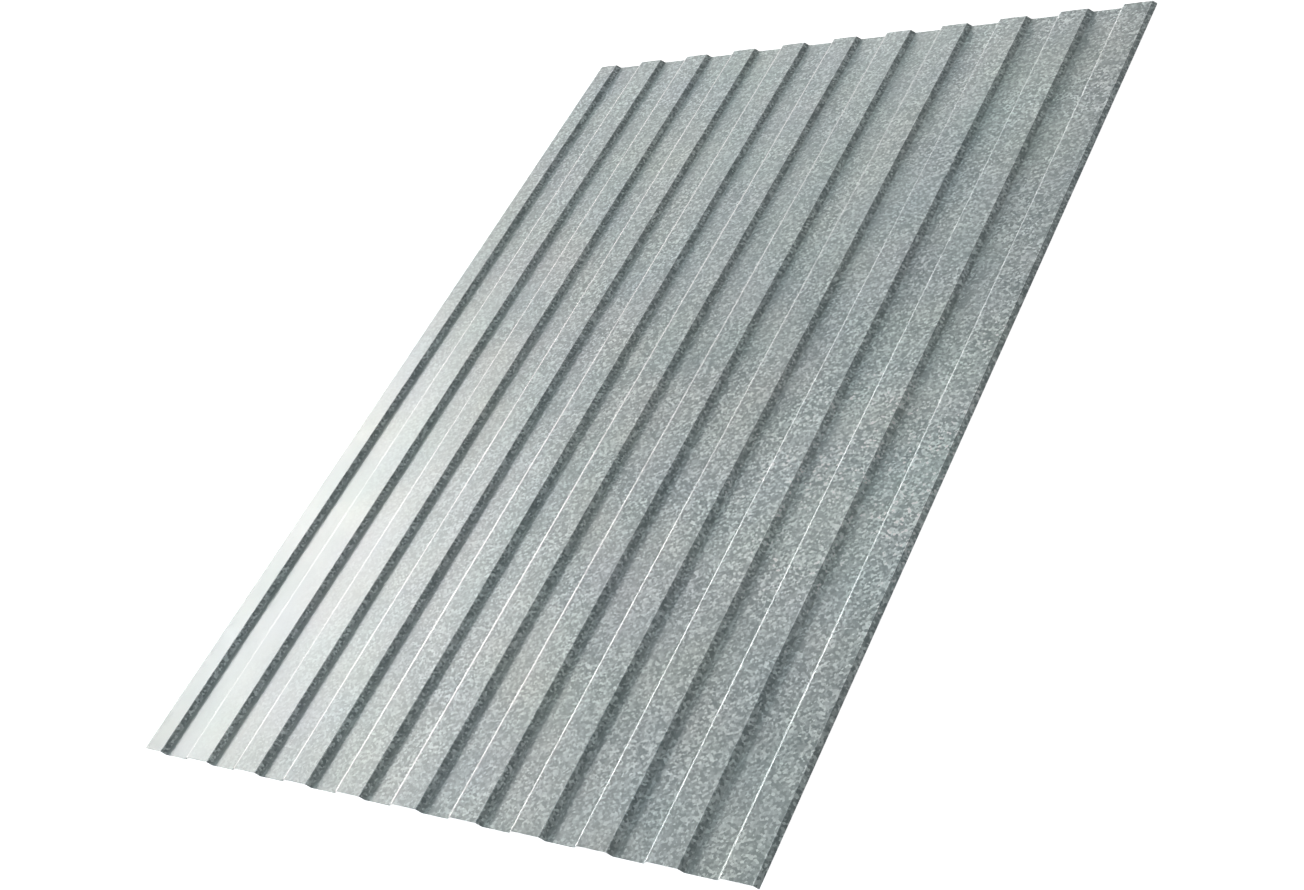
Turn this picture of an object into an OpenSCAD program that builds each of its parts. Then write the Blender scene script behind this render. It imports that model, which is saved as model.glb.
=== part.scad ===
// Corrugated (trapezoidal) roll-formed wall sheet, hot-dip galvanised.
// One piece of thin steel strip with shallow flat-topped ribs along its length.
// Frame: X runs across the ribs, Y along them, +Z up. The origin is the bottom centre
// of the sheet, on the plane that the valleys rest on.

/* [Sheet] */
// Length of the sheet, along the ribs
sheet_length = 1700; // [500:50:3000]
// Thickness of the steel strip
thickness = 0.5; // [0.4:0.05:0.8]
// Overall height of the section, from the underside of a valley to the top of a crest
section_height = 8; // [7:0.5:12]

/* [Ribs] */
// Number of crests across the sheet
crest_count = 11; // [3:1:14]
// Distance from one crest to the next
pitch = 115; // [105:1:125]
// Width of a crest's flat top, between its two fold lines
crest_flat = 50.5; // [46:0.5:55]
// Horizontal run of one sloping web
web_run = 7; // [6:0.5:10]
// Inside radius of every fold
fold_radius = 1; // [0.8:0.1:2.5]

/* [Side edges] */
// Width left of the first crest's flat, where the left side is slit
first_crest_flat = 40; // [30:0.5:46]
// Horizontal run of the last web, where the right side is slit
last_web_run = 6; // [3:0.5:6]

/* [Hidden] */

// Steps in each fold's arc.
fold_steps = 6;
zinc = [0.66, 0.7, 0.7];

// Heights of the flats' upper surfaces, and the slope of a web.
crest_z = section_height;
valley_z = thickness;
web_angle = atan((crest_z - valley_z) / web_run);

// A fold's straight setback from its fold line, on the upper surface.
crest_setback = (fold_radius + thickness) * tan(web_angle / 2);
valley_setback = fold_radius * tan(web_angle / 2);

// Section stations, measured from the left fold line of the first full-width crest.
left_edge_x = crest_flat - first_crest_flat;
right_edge_x = (crest_count - 1) * pitch + crest_flat + last_web_run;
middle_x = (left_edge_x + right_edge_x) / 2;

// The lower end of the last web, which is slit square to its own slope.
right_edge_z = crest_z - last_web_run * tan(web_angle);

// A fold is [centre, start angle, end angle, on_crest]. On a crest the arc's centre is
// below the sheet, so the upper surface has the larger radius; in a valley it is above.
function crest_left_fold(x) =
    [[x + crest_setback, crest_z - fold_radius - thickness], 90 + web_angle, 90, true];
function crest_right_fold(x) =
    [[x - crest_setback, crest_z - fold_radius - thickness], 90, 90 - web_angle, true];
function valley_left_fold(x) =
    [[x + valley_setback, valley_z + fold_radius], 270 - web_angle, 270, false];
function valley_right_fold(x) =
    [[x - valley_setback, valley_z + fold_radius], 270, 270 + web_angle, false];

// Every fold from left to right: down off a crest, along a valley and up onto the next.
folds = [
    for (i = [0 : crest_count - 1])
        let (x = i * pitch)
        each concat(
            i > 0 ? [valley_right_fold(x - web_run), crest_left_fold(x)] : [],
            [crest_right_fold(x + crest_flat)],
            i < crest_count - 1 ? [valley_left_fold(x + crest_flat + web_run)] : []
        )
];

// Points of one fold's arc on the upper surface or on the underside.
function fold_arc(fold, upper) =
    let (outer = fold_radius + thickness)
    let (radius = fold[3] == upper ? outer : fold_radius)
    [
        for (k = [0 : fold_steps])
            let (a = fold[1] + (fold[2] - fold[1]) * k / fold_steps)
            fold[0] + radius * [cos(a), sin(a)]
    ];

function reversed(points) = [for (k = [len(points) - 1 : -1 : 0]) points[k]];

// The closed outline: along the upper surface, down the slit edge, back along the underside.
slit_offset = thickness * [sin(web_angle), cos(web_angle)];
upper_line = concat(
    [[left_edge_x, crest_z]],
    [for (fold = folds) each fold_arc(fold, true)],
    [[right_edge_x, right_edge_z]]
);
under_line = concat(
    [[left_edge_x, crest_z - thickness]],
    [for (fold = folds) each fold_arc(fold, false)],
    [[right_edge_x, right_edge_z] - slit_offset]
);

module section() {
    translate([-middle_x, 0])
        polygon(concat(upper_line, reversed(under_line)));
}

module profiled_sheet() {
    color(zinc)
        rotate([90, 0, 0])
            linear_extrude(height = sheet_length, center = true)
                section();
}

profiled_sheet();
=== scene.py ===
import math
import bmesh
import bpy
from mathutils import Matrix, Vector


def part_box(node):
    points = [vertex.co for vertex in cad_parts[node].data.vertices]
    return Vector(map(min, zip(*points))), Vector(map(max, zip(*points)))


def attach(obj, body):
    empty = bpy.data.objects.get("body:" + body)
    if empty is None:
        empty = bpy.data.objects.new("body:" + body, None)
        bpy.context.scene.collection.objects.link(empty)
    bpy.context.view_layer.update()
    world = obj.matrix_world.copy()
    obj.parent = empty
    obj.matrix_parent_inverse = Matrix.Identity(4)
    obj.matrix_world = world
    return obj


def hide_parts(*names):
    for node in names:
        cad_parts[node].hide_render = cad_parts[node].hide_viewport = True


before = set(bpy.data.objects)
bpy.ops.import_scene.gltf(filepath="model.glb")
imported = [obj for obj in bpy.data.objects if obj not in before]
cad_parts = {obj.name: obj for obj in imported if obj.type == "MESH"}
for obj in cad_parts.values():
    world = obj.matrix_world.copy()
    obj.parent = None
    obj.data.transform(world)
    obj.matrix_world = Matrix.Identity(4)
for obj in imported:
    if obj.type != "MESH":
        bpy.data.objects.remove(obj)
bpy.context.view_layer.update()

# ---------------------------------------------------------------------------------------
# The profiled sheet: one strip of hot-dip galvanised steel, half a millimetre thick.
# It is roll-formed. Rollers press fold lines along the flat strip until the ribs stand up,
# every fold is a small-radius bend, and both sides are slit to width before forming.
# ---------------------------------------------------------------------------------------
sheet_low, sheet_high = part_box("profiled_sheet")
sheet_size = sheet_high - sheet_low
strip_thickness = 0.0005
fold_radius = 0.001
crest_count = 11
rib_pitch = 0.115
crest_width = 0.0505
web_run = 0.007
first_crest_width = 0.040
rib_rise = sheet_size.z - strip_thickness
web_angle = math.atan2(rib_rise, web_run)

strip = bmesh.new()
bmesh.ops.create_grid(strip, x_segments=1, y_segments=1, size=0.5)
bmesh.ops.scale(strip, vec=(sheet_size.x, sheet_size.y, 1), verts=strip.verts)
bmesh.ops.translate(
    strip, vec=(0, 0, sheet_low.z + strip_thickness), verts=strip.verts
)

# Fold lines across the strip, from the slit through the first crest to the last web.
crest_starts = [
    sheet_low.x + first_crest_width - crest_width + rib * rib_pitch
    for rib in range(crest_count)
]
fold_lines = []
for crest_start in crest_starts:
    crest_end = crest_start + crest_width
    fold_lines += [crest_start - web_run, crest_start, crest_end, crest_end + web_run]
for fold_x in fold_lines:
    if sheet_low.x < fold_x < sheet_high.x:
        bmesh.ops.bisect_plane(
            strip,
            geom=strip.verts[:] + strip.edges[:] + strip.faces[:],
            dist=1e-6,
            plane_co=(fold_x, 0, 0),
            plane_no=(1, 0, 0),
        )

# The crests rise off the flat strip, and the last web hangs from the last crest.
slack = 0.0001  # for a point that is on a fold line but for rounding
for point in strip.verts:
    for crest_start in crest_starts:
        past_start = point.co.x - crest_start + slack
        past_end = point.co.x - crest_start - crest_width
        if past_start > 0 and past_end < web_run - slack:
            point.co.z += rib_rise * (1 - max(0, past_end) / web_run)

# Crest folds bend round the inside radius and the metal, valley folds round the radius.
faces_round_a_fold = 6
crest_z = sheet_high.z
valley_z = sheet_low.z + strip_thickness
for fold_z, upper_radius in (
    (crest_z, fold_radius + strip_thickness),
    (valley_z, fold_radius),
):
    folds = [
        edge
        for edge in strip.edges
        if len(edge.link_faces) == 2
        and all(abs(end.co.z - fold_z) < slack for end in edge.verts)
    ]
    bmesh.ops.bevel(
        strip,
        geom=folds,
        offset=upper_radius * math.tan(web_angle / 2),
        offset_type="OFFSET",
        affect="EDGES",
        segments=faces_round_a_fold,
        profile=0.5,
        material=-1,
    )

bmesh.ops.recalc_face_normals(strip, faces=strip.faces)
if sum(face.normal.z for face in strip.faces) < 0:
    bmesh.ops.reverse_faces(strip, faces=strip.faces)
bmesh.ops.solidify(strip, geom=strip.faces[:], thickness=strip_thickness)
bmesh.ops.recalc_face_normals(strip, faces=strip.faces)
cut_edge_angle = math.radians(40)
for edge in strip.edges:
    edge.smooth = edge.calc_face_angle() < cut_edge_angle
for face in strip.faces:
    face.smooth = True

sheet_mesh = bpy.data.meshes.new("profiled_sheet_zinc")
strip.to_mesh(sheet_mesh)
strip.free()
sheet = bpy.data.objects.new("profiled_sheet_zinc", sheet_mesh)
bpy.context.scene.collection.objects.link(sheet)
flat_faces = sheet.modifiers.new("flat_faces", "WEIGHTED_NORMAL")
flat_faces.keep_sharp = True
flat_faces.weight = 100

# Hot-dip zinc freezes into small flakes. A pale flake is also the rougher one. The flakes
# are bold at the right edge of the sheet and almost fade out at its near left corner.
zinc = bpy.data.materials.new("galvanised_zinc")
zinc.use_nodes = True
nodes, links = zinc.node_tree.nodes, zinc.node_tree.links
surface = nodes["Principled BSDF"]
surface.inputs["Metallic"].default_value = 0.7

position = nodes.new("ShaderNodeTexCoord").outputs["Object"]


def feed(node, slot, value):
    """Joins another node's output to an input, or sets the input to a plain value."""
    if isinstance(value, bpy.types.NodeSocket):
        links.new(value, node.inputs[slot])
    else:
        node.inputs[slot].default_value = value


def add_math(name, operation, *values):
    node = nodes.new("ShaderNodeMath")
    node.name = name
    node.operation = operation
    for slot, value in enumerate(values):
        feed(node, slot, value)
    return node.outputs["Value"]


def add_vector_math(name, operation, values, result="Vector"):
    node = nodes.new("ShaderNodeVectorMath")
    node.name = name
    node.operation = operation
    for slot, value in values.items():
        feed(node, slot, value)
    return node.outputs[result]


def add_range(name, value, before, after, curve="LINEAR"):
    """Turns the span of values from before[0] to before[1] into after[0] to after[1]."""
    node = nodes.new("ShaderNodeMapRange")
    node.name = name
    node.interpolation_type = curve
    feed(node, "Value", value)
    feed(node, "From Min", before[0])
    feed(node, "From Max", before[1])
    feed(node, "To Min", after[0])
    feed(node, "To Max", after[1])
    return node.outputs["Result"]


def add_noise(name, scale, detail):
    node = nodes.new("ShaderNodeTexNoise")
    node.name = name
    feed(node, "Vector", position)
    feed(node, "Scale", scale)
    feed(node, "Detail", detail)
    return node


def multiply_all(name, values):
    product = values[0]
    for value in values[1:]:
        product = add_math(name, "MULTIPLY", product, value)
    return product


# The flakes are small cells with ragged edges, and only a few of them are bright.
frost = add_noise("ragged_flake_edges", 500, 1)
ragged_position = add_vector_math(
    "ragged_position",
    "MULTIPLY_ADD",
    {0: frost.outputs["Color"], 1: (0.0018, 0.0010, 0.0010), 2: position},
)
flakes = nodes.new("ShaderNodeTexVoronoi")
flakes.name = "zinc_flakes"
feed(flakes, "Vector", ragged_position)
feed(flakes, "Scale", 270)
flake_tone = nodes.new("ShaderNodeSeparateColor")
feed(flake_tone, "Color", flakes.outputs["Color"])
bright_flakes = add_math("few_bright_flakes", "POWER", flake_tone.outputs["Red"], 1.7)

# How strongly the flakes show on the flats: weakest at the near left corner.
near_left_corner = nodes.new("ShaderNodeMapping")
near_left_corner.name = "from_the_near_left_corner"
feed(near_left_corner, "Vector", position)
feed(near_left_corner, "Location", (0.75, 0.33, 0))
feed(near_left_corner, "Scale", (1, 0.6, 0))
corner_distance = add_vector_math(
    "corner_distance", "LENGTH", {0: near_left_corner.outputs["Vector"]}, "Value"
)
across = nodes.new("ShaderNodeSeparateXYZ")
feed(across, "Vector", position)
across_x, along_y, up_z = (across.outputs[axis] for axis in "XYZ")
patches = add_noise("patches_of_sharper_flakes", 9, 1)
flat_strength = multiply_all(
    "flake_strength_on_flats",
    (
        add_range("flakes_fade_to_near_left", corner_distance, (0.26, 0.70), (0.07, 0.66)),
        add_range("flakes_bolder_to_the_right", across_x, (0, 0.6), (1.0, 1.32)),
        add_range("flakes_softer_at_the_near_end", along_y, (-0.85, -0.20), (0.80, 1.0)),
        add_range("patch_strength", patches.outputs["Fac"], (0.35, 0.65), (0.82, 1.18)),
    ),
)

# The flakes show at full strength on the sloping webs, above and below.
face_direction = nodes.new("ShaderNodeNewGeometry")
face_slope = nodes.new("ShaderNodeSeparateXYZ")
feed(face_slope, "Vector", face_direction.outputs["Normal"])
upright = add_math("same_above_and_below", "ABSOLUTE", face_slope.outputs["Z"])
flake_strength = nodes.new("ShaderNodeMix")
flake_strength.name = "flake_strength"
feed(flake_strength, "Factor", add_range("on_a_sloping_web", upright, (0.95, 0.75), (0, 1)))
feed(flake_strength, "A", flat_strength)
feed(flake_strength, "B", 1.0)
middle_flake = 0.37
flake_shade = add_math(
    "flake_shade",
    "MULTIPLY",
    add_math("about_the_middle_flake", "SUBTRACT", bright_flakes, middle_flake),
    flake_strength.outputs["Result"],
)

# Faint marks from the zinc bath cloud the colour.
clouds = add_noise("cloudy_bath_marks", 7, 3)
cloud_tint = nodes.new("ShaderNodeValToRGB")
cloud_tint.name = "cloud_tint"
cloud_tint.color_ramp.elements[0].position = 0.3
cloud_tint.color_ramp.elements[0].color = (0.507, 0.580, 0.588, 1)
cloud_tint.color_ramp.elements[1].position = 0.7
cloud_tint.color_ramp.elements[1].color = (0.574, 0.640, 0.637, 1)
feed(cloud_tint, "Fac", clouds.outputs["Fac"])
flake_colour = add_vector_math(
    "flake_colour",
    "MULTIPLY_ADD",
    {0: flake_shade, 1: (0.617, 0.645, 0.632), 2: cloud_tint.outputs["Color"]},
)

# A broad pale patch lies over the last three ribs, a little nearer than half way.
patch_distance = add_vector_math(
    "patch_distance", "DISTANCE", {0: position, 1: (0.52, -0.20, 0)}, "Value"
)
pale_patch = add_range(
    "pale_patch", patch_distance, (0.08, 0.42), (1.17, 1.0), "SMOOTHSTEP"
)
patched_colour = add_vector_math(
    "patched_colour", "SCALE", {0: flake_colour, "Scale": pale_patch}
)

# The zinc has faint pink, green and blue clouds.
hues = add_noise("faint_hues", 6, 2)
hue_shift = add_vector_math(
    "hue_shift",
    "MULTIPLY_ADD",
    {0: hues.outputs["Color"], 1: (0.12, 0.05, 0.10), 2: (0.945, 0.975, 0.948)},
)
hued_colour = add_vector_math("hued_colour", "MULTIPLY", {0: patched_colour, 1: hue_shift})

# Painted shade: the outer half of the first crest is darkened along the nearer part of the
# sheet, to tone down the glare there.
painted_shade_on_first_crest = add_math(
    "painted_shade_on_first_crest",
    "MULTIPLY_ADD",
    add_range("painted_shade_at_left_edge", across_x, (-0.50, -0.60), (0, 1)),
    add_range("painted_shade_towards_near_end", along_y, (0, -0.25), (0, -0.11)),
    1.0,
)
zinc_colour = add_vector_math("zinc_colour", "SCALE", {0: hued_colour, "Scale": painted_shade_on_first_crest})

# The zinc is shinier where it bends over a crest.
on_fold = nodes.new("ShaderNodeValToRGB")
on_fold.name = "on_a_fold"
fold_ramp = on_fold.color_ramp
fold_ramp.elements[0].position = 0.70
fold_ramp.elements[0].color = (0, 0, 0, 1)
fold_ramp.elements[1].position = 0.999
fold_ramp.elements[1].color = (0, 0, 0, 1)
for place in (0.74, 0.99):
    bent = fold_ramp.elements.new(place)
    bent.color = (1, 1, 1, 1)
feed(on_fold, "Fac", upright)
crest_folds_above = 0.005
on_crest = add_math("crest_folds_only", "GREATER_THAN", up_z, crest_folds_above)
shiny_fold = add_math("shiny_fold", "MULTIPLY", on_fold.outputs["Color"], on_crest)
zinc_roughness = nodes.new("ShaderNodeMix")
zinc_roughness.name = "zinc_roughness"
feed(zinc_roughness, "Factor", shiny_fold)
feed(zinc_roughness, "A", add_range("flake_roughness", bright_flakes, (0, 1), (0.38, 0.56)))
feed(zinc_roughness, "B", 0.22)
feed(surface, "Roughness", zinc_roughness.outputs["Result"])

# Painted shade: a darker line along the fold at the foot of each right-hand web, where
# shade gathers in the crease.
line_start = crest_starts[0] - 0.0002
foot_line_middle = crest_width + web_run + 0.0015
foot_line_half_width = 0.0016
past_line_start = add_math("from_the_crest_edge", "SUBTRACT", across_x, line_start)
each_rib = add_math("same_on_each_rib", "WRAP", past_line_start, rib_pitch, 0)
crease_shade_mask = add_math(
    "crease_shade_line", "COMPARE", each_rib, foot_line_middle, foot_line_half_width
)
painted_crease_shade = add_range("painted_crease_shade_at_web_foot", crease_shade_mask, (0, 1), (1.0, 0.84))
crease_shaded_colour = add_vector_math(
    "colour_with_painted_crease_shade", "SCALE", {0: zinc_colour, "Scale": painted_crease_shade}
)

# Painted highlight: a thin pale line follows the left edge of each crest on the left half
# of the sheet, in place of the glint off the fold.
painted_highlight_width = 0.0026
painted_highlight = multiply_all(
    "painted_highlight_line",
    (
        add_math("highlight_line_on_crest_edge", "LESS_THAN", each_rib, painted_highlight_width),
        on_crest,
        add_range("highlight_line_on_the_left", across_x, (0.35, 0), (0, 1)),
        add_range("highlight_line_past_the_corner", corner_distance, (0.26, 0.60), (0.3, 0.95)),
    ),
)
# The sheet colour mixes in the painted highlight line, over the painted crease shade and
# the painted shade on the first crest.
sheet_colour = nodes.new("ShaderNodeMix")
sheet_colour.name = "sheet_colour"
sheet_colour.data_type = "RGBA"
feed(sheet_colour, "Factor", painted_highlight)
feed(sheet_colour, "A", crease_shaded_colour)
feed(sheet_colour, "B", (0.96, 0.98, 0.98, 1))
feed(surface, "Base Color", sheet_colour.outputs["Result"])
sheet_mesh.materials.append(zinc)

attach(sheet, "root")
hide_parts("profiled_sheet")

# ---------------------------------------------------------------------------------------
# The studio floor: a flat disc of white paint that the valleys of the sheet rest on.
# It glows a little so that it stays plain white, and the zinc doesn't mirror it.
# ---------------------------------------------------------------------------------------
studio_radius = 60
floor_mesh = bpy.data.meshes.new("studio_floor")
floor_shape = bmesh.new()
bmesh.ops.create_circle(
    floor_shape, cap_ends=True, segments=96, radius=studio_radius
)
bmesh.ops.translate(floor_shape, vec=(0, 0, sheet_low.z), verts=floor_shape.verts)
floor_shape.to_mesh(floor_mesh)
floor_shape.free()
floor = bpy.data.objects.new("studio_floor", floor_mesh)
bpy.context.scene.collection.objects.link(floor)
paint = bpy.data.materials.new("floor_paint")
paint.use_nodes = True
paint_surface = paint.node_tree.nodes["Principled BSDF"]
paint_surface.inputs["Base Color"].default_value = (0.9, 0.9, 0.9, 1)
paint_surface.inputs["Roughness"].default_value = 0.9
paint_surface.inputs["Specular IOR Level"].default_value = 0.0
paint_surface.inputs["Emission Color"].default_value = (1, 1, 1, 1)
paint_surface.inputs["Emission Strength"].default_value = 0.9
floor_mesh.materials.append(paint)
floor.visible_diffuse = False
floor.visible_glossy = False

# ---------------------------------------------------------------------------------------
# The backdrop: a plain white dome that meets the floor far behind the sheet.
# It is only seen. It casts no light, shadow or reflection on the zinc.
# ---------------------------------------------------------------------------------------
dome_mesh = bpy.data.meshes.new("studio_dome")
dome_shape = bmesh.new()
bmesh.ops.create_uvsphere(
    dome_shape, u_segments=96, v_segments=48, radius=studio_radius
)
dome_shape.to_mesh(dome_mesh)
dome_shape.free()
dome = bpy.data.objects.new("studio_dome", dome_mesh)
bpy.context.scene.collection.objects.link(dome)
white = bpy.data.materials.new("dome_white")
white.use_nodes = True
white_surface = white.node_tree.nodes["Principled BSDF"]
white_surface.inputs["Base Color"].default_value = (0, 0, 0, 1)
white_surface.inputs["Specular IOR Level"].default_value = 0.0
white_surface.inputs["Emission Color"].default_value = (1, 1, 1, 1)
white_surface.inputs["Emission Strength"].default_value = 1.0
dome_mesh.materials.append(white)
dome.visible_diffuse = False
dome.visible_glossy = False
dome.visible_transmission = False
dome.visible_shadow = False

# ---------------------------------------------------------------------------------------
# The studio light: dim grey air with a brighter band along the horizon, softboxes on the
# left and beyond that glare off the near left corner, one overhead, and a fill light.
# ---------------------------------------------------------------------------------------
scene = bpy.context.scene
world = bpy.data.worlds.new("studio_air")
world.use_nodes = True
air_nodes, air_links = world.node_tree.nodes, world.node_tree.links
air = air_nodes["Background"]
direction = air_nodes.new("ShaderNodeTexCoord")
height = air_nodes.new("ShaderNodeSeparateXYZ")
air_links.new(direction.outputs["Generated"], height.inputs["Vector"])
dim_grey = (0.155, 0.159, 0.160, 1)
fade = air_nodes.new("ShaderNodeValToRGB")
glow = fade.color_ramp
glow.elements[0].position = 0.495
glow.elements[0].color = dim_grey
glow.elements[1].position = 0.5
glow.elements[1].color = (1, 1, 1, 1)
sky = glow.elements.new(0.6)
sky.color = dim_grey
half_height = air_nodes.new("ShaderNodeMapRange")
half_height.inputs["From Min"].default_value = -1
air_links.new(height.outputs["Z"], half_height.inputs["Value"])
air_links.new(half_height.outputs["Result"], fade.inputs["Fac"])
air_links.new(fade.outputs["Color"], air.inputs["Color"])
air.inputs["Strength"].default_value = 1.20
scene.world = world
scene.view_settings.view_transform = "Standard"


def hang_softbox(name, place, size, power, colour):
    lamp = bpy.data.lights.new(name, "AREA")
    lamp.shape = "RECTANGLE"
    lamp.size, lamp.size_y = size
    lamp.energy = power
    lamp.color = colour
    softbox = bpy.data.objects.new(name, lamp)
    softbox.location = place
    softbox.rotation_euler = (-Vector(place)).to_track_quat("-Z", "Y").to_euler()
    softbox.visible_camera = False
    scene.collection.objects.link(softbox)
    return softbox


# All hang between five and six metres out and face the middle of the sheet.
warm_white = (1.0, 0.9, 0.87)
cool_white = (0.82, 0.95, 1.0)
plain_white = (0.95, 1.0, 1.0)
hang_softbox("left_softbox", (-5.0, 1.3, 1.9), (2.8, 0.8), 115, warm_white)
hang_softbox("low_left_softbox", (-5.0, 2.6, 0.4), (3.0, 0.7), 32, warm_white)
hang_softbox("near_left_softbox", (-5.5, -1.0, 0.4), (2.0, 0.7), 25, warm_white)
hang_softbox("low_far_softbox", (-2.0, 5.0, 0.4), (1.5, 0.7), 60, warm_white)
hang_softbox("far_softbox", (-4.0, 4.0, 1.2), (3.0, 0.8), 18, warm_white)
hang_softbox("high_far_softbox", (-2.5, 4.0, 2.7), (2.5, 1.0), 8, plain_white)
hang_softbox("overhead_softbox", (0, 0, 5.5), (4.0, 4.0), 39, plain_white)

# The zinc doesn't mirror the fill light, so no flat glares white from the far right side.
fill = hang_softbox("front_left_fill", (-4.0, -4.0, 1.2), (3.0, 2.4), 400, cool_white)
fill.visible_glossy = False

# ---------------------------------------------------------------------------------------
# The camera: it looks down on the sheet from the near right corner and is rolled over to
# the left, so that the ribs run up the picture from lower left to upper right.
# ---------------------------------------------------------------------------------------
camera_lens = bpy.data.cameras.new("camera")
camera_lens.sensor_width = 36
camera_lens.lens = 50.3
camera_lens.shift_x = 0.0316
camera_lens.shift_y = -0.0007
camera_lens.clip_end = 500
camera = bpy.data.objects.new("camera", camera_lens)
eye = Vector((1.820, -1.618, 1.769))
aim = Vector((-0.0175, -0.160, 0.0))
roll = math.radians(-34.54)
turn = (aim - eye).to_track_quat("-Z", "Y").to_matrix() @ Matrix.Rotation(roll, 3, "Z")
camera.matrix_world = Matrix.Translation(eye) @ turn.to_4x4()
scene.collection.objects.link(camera)
scene.camera = camera
